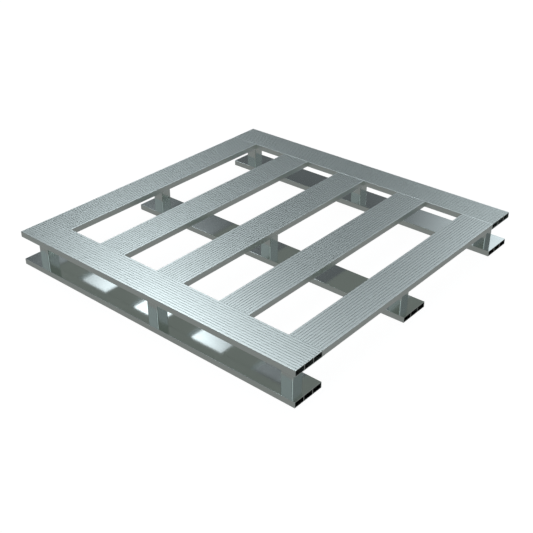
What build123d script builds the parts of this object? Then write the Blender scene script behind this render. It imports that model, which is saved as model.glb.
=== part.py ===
from build123d import *
import os

# Flat aluminium pallet, four-way entry, in millimetres.
# The origin is on the floor under the middle of the pallet. The end boards and the
# bottom boards run along X, the long deck boards run along Y, and Z is up.

# Outer size
pallet_width = 1200  # along X
pallet_depth = 1200  # along Y
fork_height = 86  # clear height between the bottom boards and the deck

# How many boards there are
deck_board_count = 5  # long boards between the two end boards
bottom_board_count = 3

# Extruded board: a flat hollow section, ribbed on one side and plain on the other
board_width = 120
board_thickness = 21
board_skin = 2  # upper and lower wall
board_side_wall = 2
board_web = 2  # walls between the cells
cell_count = 3
board_edge_radius = 1.2
groove_pitch = 10
groove_width = 2.2
groove_depth = 1

# Extruded post: a square tube with rounded corners
post_size = 45  # along X and Y
post_wall = 3
post_corner_radius = 4

# Heights
bottom_board_base = 0
post_base = bottom_board_base + board_thickness
deck_base = post_base + fork_height

# Places of the boards and posts
side_reach = (pallet_width - board_width) / 2
end_reach = (pallet_depth - board_width) / 2
deck_board_length = pallet_depth - 2 * board_width


def spread(reach, count):
    """Evenly spaced places from -reach to +reach."""
    return [reach * (2 * i / (count - 1) - 1) for i in range(count)]


deck_board_x = spread(side_reach, deck_board_count)
bottom_board_y = spread(end_reach, bottom_board_count)
post_x = [deck_board_x[0], deck_board_x[deck_board_count // 2], deck_board_x[-1]]
post_y = bottom_board_y

# Inside sizes of the board
cell_width = (board_width - 2 * board_side_wall - (cell_count - 1) * board_web) / cell_count
cell_height = board_thickness - 2 * board_skin
groove_count = int(board_width / groove_pitch) - 1


def make_board(name, end_plane, length):
    """One length of the ribbed hollow section, cut square at both ends.

    The plane is at one end of the board, with its origin in the middle of the
    plain side, its x across the board and its y towards the ribbed side.
    """
    with BuildPart() as board:
        with BuildSketch(end_plane):
            with Locations((0, board_thickness / 2)):
                RectangleRounded(board_width, board_thickness, board_edge_radius)
            with Locations((0, board_thickness / 2)):
                with GridLocations(cell_width + board_web, 1, cell_count, 1):
                    Rectangle(cell_width, cell_height, mode=Mode.SUBTRACT)
            with Locations((0, board_thickness)):
                with GridLocations(groove_pitch, 1, groove_count, 1):
                    Rectangle(groove_width, 2 * groove_depth, mode=Mode.SUBTRACT)
        extrude(amount=length)
    board.part.label = name
    export_step(board.part, f"parts/{name}.step")


def make_post(name, base_plane):
    """One length of square tube, cut to the clear height of the fork opening."""
    bore_size = post_size - 2 * post_wall
    with BuildPart() as post:
        with BuildSketch(base_plane):
            RectangleRounded(post_size, post_size, post_corner_radius)
            RectangleRounded(
                bore_size, bore_size, post_corner_radius - post_wall, mode=Mode.SUBTRACT
            )
        extrude(amount=fork_height)
    post.part.label = name
    export_step(post.part, f"parts/{name}.step")


os.makedirs("parts", exist_ok=True)

# End boards of the deck, across the whole width
for name, y in (("near_end_board", -end_reach), ("far_end_board", end_reach)):
    board_end = Plane(origin=(-pallet_width / 2, y, deck_base), x_dir=(0, 1, 0), z_dir=(1, 0, 0))
    make_board(name, board_end, pallet_width)

# Long deck boards, butted between the end boards
for number, x in enumerate(deck_board_x, start=1):
    board_end = Plane(
        origin=(x, deck_board_length / 2, deck_base), x_dir=(1, 0, 0), z_dir=(0, -1, 0)
    )
    make_board(f"deck_board_{number}", board_end, deck_board_length)

# Bottom boards under the posts, turned over so that their ribs grip the floor
for number, y in enumerate(bottom_board_y, start=1):
    board_end = Plane(origin=(-pallet_width / 2, y, post_base), x_dir=(0, -1, 0), z_dir=(1, 0, 0))
    make_board(f"bottom_board_{number}", board_end, pallet_width)

# Posts, where the bottom boards cross under the outer and middle deck boards
for row, y in enumerate(post_y, start=1):
    for column, x in enumerate(post_x, start=1):
        make_post(f"post_row_{row}_{column}", Plane(origin=(x, y, post_base)))
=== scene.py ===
import math

import bpy
from mathutils import Euler, Matrix

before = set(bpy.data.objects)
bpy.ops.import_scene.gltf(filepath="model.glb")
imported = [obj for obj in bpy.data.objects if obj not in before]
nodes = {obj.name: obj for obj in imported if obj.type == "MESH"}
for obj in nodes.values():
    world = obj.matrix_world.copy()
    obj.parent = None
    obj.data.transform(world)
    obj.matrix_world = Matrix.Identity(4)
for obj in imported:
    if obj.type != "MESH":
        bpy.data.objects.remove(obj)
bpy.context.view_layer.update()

print("frame loaded,", len(nodes), "pieces")


# small helpers for node trees

class Value:
    # a socket that can be used in sums
    def __init__(self, graph, socket):
        self.graph = graph
        self.socket = socket

    def output(self, name):
        # another output of the same node
        return Value(self.graph, self.socket.node.outputs[name])

    def __add__(self, other):
        return self.graph.calc("ADD", self, other)

    def __radd__(self, other):
        return self.graph.calc("ADD", other, self)

    def __sub__(self, other):
        return self.graph.calc("SUBTRACT", self, other)

    def __rsub__(self, other):
        return self.graph.calc("SUBTRACT", other, self)

    def __mul__(self, other):
        return self.graph.calc("MULTIPLY", self, other)

    def __rmul__(self, other):
        return self.graph.calc("MULTIPLY", other, self)

    def __truediv__(self, other):
        return self.graph.calc("DIVIDE", self, other)

    def __rtruediv__(self, other):
        return self.graph.calc("DIVIDE", other, self)


class Graph:
    # a node tree that starts empty
    def __init__(self, tree):
        self.tree = tree
        tree.nodes.clear()

    def add(self, kind, settings=None, inputs=None, out=0):
        # the settings come first, because some change the node's sockets
        node = self.tree.nodes.new(kind)
        for name, value in (settings or {}).items():
            setattr(node, name, value)
        for key, value in (inputs or {}).items():
            if isinstance(value, Value):
                self.tree.links.new(value.socket, node.inputs[key])
            else:
                node.inputs[key].default_value = value
        if node.outputs:
            return Value(self, node.outputs[out])

    def calc(self, operation, *values):
        return self.add("ShaderNodeMath", {"operation": operation}, dict(enumerate(values)))

    def mixColour(self, factor, first, second):
        # by number, because this node has several sockets of each name
        return self.add("ShaderNodeMix", {"data_type": "RGBA"}, {0: factor, 6: first, 7: second}, out=2)

    def noise(self, vector, scale, detail=2.0, roughness=0.5):
        return self.add("ShaderNodeTexNoise", {"noise_dimensions": "3D"}, {
            "Vector": vector, "Scale": scale, "Detail": detail, "Roughness": roughness})

    def ramp(self, value, start, end):
        # 0 at start and 1 at end, smooth between and level beyond; end may be the lower one
        return self.add("ShaderNodeMapRange", {"interpolation_type": "SMOOTHSTEP"}, {
            "Value": value, "From Min": start, "From Max": end})


def newMaterial(name):
    material = bpy.data.materials.new(name)
    material.use_nodes = True
    return material, Graph(material.node_tree)


def dress(piece, material):
    if not piece.data.materials:
        piece.data.materials.append(material)
    for slot in piece.material_slots:
        slot.material = material


# aluminium, straight from the extrusion press

millFinish = {
    "colour": (0.665, 0.715, 0.680, 1),
    "streakColour": (0.605, 0.655, 0.620, 1),
    "streakAmount": 0.25,
    "streakShare": 0.6,             # the rest of the colour's pattern is cloud
    "streakRange": (0.36, 0.64),    # of the pattern, where the colour turns
    "endPaintedLight": 1.02,                # painted light: the end boards are made a little lighter, making up for the shade in their cross grooves
    "treadRoughness": 0.26,         # deck, worn by loads
    "plainRoughness": 0.09,         # bottom boards
    "postRoughness": 0.12,
    "roughnessSpread": 0.05,
    "grainWidth": 0.0022,           # across the extrusion, metres
    "grainLength": 0.11,            # along it
    "grainDetail": 3.0,
    "fineWidth": 0.0005,
    "fineLength": 0.03,
    "cloudSize": 0.07,
    "cloudDetail": 3.0,
    "cloudRoughness": 0.6,
    "grainDepth": 0.00003,          # metres
    "grainStrength": 0.012,
}


def drawnOut(graph, coords, axis, width, length):
    # coordinates for noise of scale 1, with its cells drawn out along one axis
    scale = [1 / width] * 3
    scale["xyz".index(axis)] = 1 / length
    return graph.add("ShaderNodeVectorMath", {"operation": "MULTIPLY"}, {0: coords, 1: scale})


def lighter(colour, paintedLift):
    return [paintedLift * part for part in colour[:3]] + [1]


def average(first, second, share=0.5):
    # share is the first one's weight
    return share * first + (1 - share) * second


def makeAluminium(name, axis, roughness, paintedLift=1.0):
    values = millFinish
    material, graph = newMaterial(name)
    coords = graph.add("ShaderNodeTexCoord", out="Object")
    grainCoords = drawnOut(graph, coords, axis, values["grainWidth"], values["grainLength"])
    fineCoords = drawnOut(graph, coords, axis, values["fineWidth"], values["fineLength"])
    streaks = graph.noise(grainCoords, 1.0, values["grainDetail"])
    fine = graph.noise(fineCoords, 1.0)
    cloud = graph.noise(coords, 1 / values["cloudSize"], values["cloudDetail"], values["cloudRoughness"])

    pattern = graph.ramp(average(streaks, cloud, values["streakShare"]), *values["streakRange"])
    # the lift is painted light: the colour is scaled up to stand in for light the board would catch
    colour = graph.mixColour(pattern * values["streakAmount"],
                             lighter(values["colour"], paintedLift), lighter(values["streakColour"], paintedLift))
    bump = graph.add("ShaderNodeBump", None, {
        "Strength": values["grainStrength"],
        "Distance": values["grainDepth"],
        "Height": average(streaks, fine),
    })
    metal = graph.add("ShaderNodeBsdfPrincipled", None, {
        "Base Color": colour,
        "Metallic": 1.0,
        "Roughness": roughness + values["roughnessSpread"] * average(streaks, cloud),
        "Normal": bump,
    })
    graph.add("ShaderNodeOutputMaterial", None, {"Surface": metal})
    return material


def dressPallet():
    # the grain runs along each extrusion
    # the end boards get painted light, a lifted colour for the shade in their grooves
    endBoard = makeAluminium("tread_grain_x_painted_light", "x", millFinish["treadRoughness"], millFinish["endPaintedLight"])
    deckBoard = makeAluminium("tread_grain_y", "y", millFinish["treadRoughness"])
    bottomBoard = makeAluminium("aluminium_grain_x", "x", millFinish["plainRoughness"])
    post = makeAluminium("aluminium_grain_z", "z", millFinish["postRoughness"])
    for name, piece in nodes.items():
        if name.startswith("post"):
            dress(piece, post)
        elif name.startswith("deck_board"):
            dress(piece, deckBoard)
        elif name.startswith("bottom_board"):
            dress(piece, bottomBoard)
        else:
            dress(piece, endBoard)


dressPallet()
print("pieces dressed")


# floor: nearly white for the camera, and darker where the metal mirrors it

floorValues = {
    "size": 60.0,
    "colour": (0.80, 0.80, 0.80, 1),
    "glow": 1.13,
    "glowShare": 0.85,                      # the rest is lit, which keeps a faint shadow
    "mirroredColour": (0.04, 0.04, 0.04, 1),
    "mirroredGlow": (0.269, 0.272, 0.272, 1),
}


def makeFloorMaterial():
    values = floorValues
    material, graph = newMaterial("studio_floor")
    rays = graph.add("ShaderNodeLightPath")
    mirroring = rays.output("Is Glossy Ray") + rays.output("Is Transmission Ray")
    lit = graph.add("ShaderNodeBsdfDiffuse", None, {"Color": values["colour"]})
    glow = graph.add("ShaderNodeEmission", None, {"Strength": values["glow"]})
    seen = graph.add("ShaderNodeMixShader", None, {0: values["glowShare"], 1: lit, 2: glow})
    darkLit = graph.add("ShaderNodeBsdfDiffuse", None, {"Color": values["mirroredColour"]})
    darkGlow = graph.add("ShaderNodeEmission", None, {"Color": values["mirroredGlow"]})
    mirrored = graph.add("ShaderNodeAddShader", None, {0: darkLit, 1: darkGlow})
    either = graph.add("ShaderNodeMixShader", None, {0: mirroring, 1: seen, 2: mirrored})
    graph.add("ShaderNodeOutputMaterial", None, {"Surface": either})
    material.cycles.emission_sampling = "NONE"      # so that metal meets only the mirrored look
    return material


def makeFloor():
    half = floorValues["size"] / 2
    corners = [(-half, -half, 0), (half, -half, 0), (half, half, 0), (-half, half, 0)]
    mesh = bpy.data.meshes.new("floor")
    mesh.from_pydata(corners, [], [(0, 1, 2, 3)])
    floor = bpy.data.objects.new("floor", mesh)
    bpy.context.scene.collection.objects.link(floor)
    dress(floor, makeFloorMaterial())


makeFloor()


# studio light: a dark dome with large soft boxes of light in it.
# Turn is degrees from +Y towards -X, and the camera looks towards about 41.
# Rise is degrees above the floor. The soft borders lie inside a box.

domeValues = {
    "grey": 0.133,
    "tint": (0.93, 1.0, 1.08, 1),
    "boxes": [
        # key light, ahead of the camera and left of it
        {"strength": 4.80, "turn": (41.0, 58.0), "turnSoft": (11.0, 8.0),
         "rise": (26.6, 56.0), "riseSoft": (13.0, 10.0)},
        # wider light round its upper part
        {"strength": 1.70, "turn": (28.0, 78.0), "turnSoft": (12.0, 15.0),
         "rise": (38.0, 60.0), "riseSoft": (8.0, 12.0)},
        # tall light straight ahead
        {"strength": 0.75, "turn": (20.0, 52.0), "turnSoft": (10.0, 10.0),
         "rise": (39.0, 85.0), "riseSoft": (8.0, 12.0)},
        # high sky beyond the pallet
        {"strength": 0.55, "turn": (-20.0, 120.0), "turnSoft": (20.0, 30.0),
         "rise": (40.0, 91.0), "riseSoft": (16.0, 1.0)},
        # right of the key light, tall
        {"strength": 0.96, "turn": (-15.0, 33.4), "turnSoft": (8.0, 26.0),
         "rise": (25.7, 80.0), "riseSoft": (2.0, 12.0)},
        # right of the key light, low
        {"strength": 1.05, "turn": (-15.0, 33.4), "turnSoft": (20.0, 14.0),
         "rise": (24.4, 45.0), "riseSoft": (3.0, 15.0)},
        # left of the camera
        {"strength": 0.32, "turn": (90.0, 160.0), "turnSoft": (20.0, 15.0),
         "rise": (20.0, 80.0), "riseSoft": (6.0, 50.0)},
        # behind the camera
        {"strength": 0.90, "turn": (185.0, 260.0), "turnSoft": (12.0, 30.0),
         "rise": (20.0, 80.0), "riseSoft": (6.0, 30.0)},
    ],
    # a round glow on the camera's right
    "glow": {"strength": 0.22, "turn": -55, "rise": 32, "spread": 0.10},
}


def towards(turn, rise):
    turn, rise = math.radians(turn), math.radians(rise)
    return -math.sin(turn) * math.cos(rise), math.cos(turn) * math.cos(rise), math.sin(rise)


def band(graph, angle, ends, soft):
    # 1 between the two ends, with soft borders that lie inside them
    rising = graph.ramp(angle, ends[0], ends[0] + soft[0])
    falling = graph.ramp(angle, ends[1], ends[1] - soft[1])
    return rising * falling


def makeDome():
    values = domeValues
    world = bpy.data.worlds.new("studio")
    bpy.context.scene.world = world
    world.use_nodes = True
    graph = Graph(world.node_tree)
    way = graph.add("ShaderNodeTexCoord", out="Generated")
    parts = graph.add("ShaderNodeSeparateXYZ", None, {0: way})
    x, y, z = (parts.output(letter) for letter in "XYZ")
    inDegrees = 180 / math.pi
    turn = graph.calc("ARCTAN2", 0.0 - y, 0.0 - x) * inDegrees + 90.0     # from -90 to 270
    rise = graph.calc("ARCSINE", z) * inDegrees

    light = values["grey"]
    for box in values["boxes"]:
        across = band(graph, turn, box["turn"], box["turnSoft"])
        upwards = band(graph, rise, box["rise"], box["riseSoft"])
        light = box["strength"] * (across * upwards) + light
    glow = values["glow"]
    facing = graph.add("ShaderNodeVectorMath", {"operation": "DOT_PRODUCT"},
                       {0: way, 1: towards(glow["turn"], glow["rise"])}, out="Value")
    light = glow["strength"] * graph.calc("EXPONENT", (facing - 1.0) / glow["spread"]) + light

    camera = graph.add("ShaderNodeLightPath", out="Is Camera Ray")
    dome = graph.add("ShaderNodeBackground", None, {"Color": values["tint"], "Strength": light})
    white = graph.add("ShaderNodeBackground", None, {"Color": (1, 1, 1, 1), "Strength": 1.0})
    either = graph.add("ShaderNodeMixShader", None, {0: camera, 1: dome, 2: white})
    graph.add("ShaderNodeOutputWorld", None, {"Surface": either})


makeDome()


# overhead softbox

softboxValues = {
    "height": 3.2,
    "size": 2.2,
    "watts": 5.0,
}


def makeSoftbox():
    values = softboxValues
    lamp = bpy.data.lights.new("overhead_softbox", "AREA")
    lamp.shape = "SQUARE"
    lamp.size = values["size"]
    lamp.energy = values["watts"]
    holder = bpy.data.objects.new("overhead_softbox", lamp)
    holder.location = (0, 0, values["height"])
    bpy.context.scene.collection.objects.link(holder)


makeSoftbox()
print("light and floor made")


# camera, where the photograph was taken from

cameraValues = {
    "place": (1.7834, -2.0951, 1.5914),
    "turn": 40.623,     # degrees from +Y towards -X
    "fall": 30.870,     # degrees below level
    "roll": -0.20,      # degrees
    "focal": 60.65,     # millimetres, as is the sensor
    "sensor": 36.0,
}


def makeCamera():
    values = cameraValues
    data = bpy.data.cameras.new("camera")
    data.lens = values["focal"]
    data.sensor_width = values["sensor"]
    data.sensor_fit = "HORIZONTAL"
    camera = bpy.data.objects.new("camera", data)
    camera.location = values["place"]
    level = Euler((math.radians(90 - values["fall"]), 0, math.radians(values["turn"]))).to_matrix()
    roll = Matrix.Rotation(math.radians(values["roll"]), 3, "Z")
    camera.rotation_euler = (level @ roll).to_euler()
    bpy.context.scene.collection.objects.link(camera)
    bpy.context.scene.camera = camera


makeCamera()
bpy.context.scene.view_settings.view_transform = "Standard"
print("camera made")
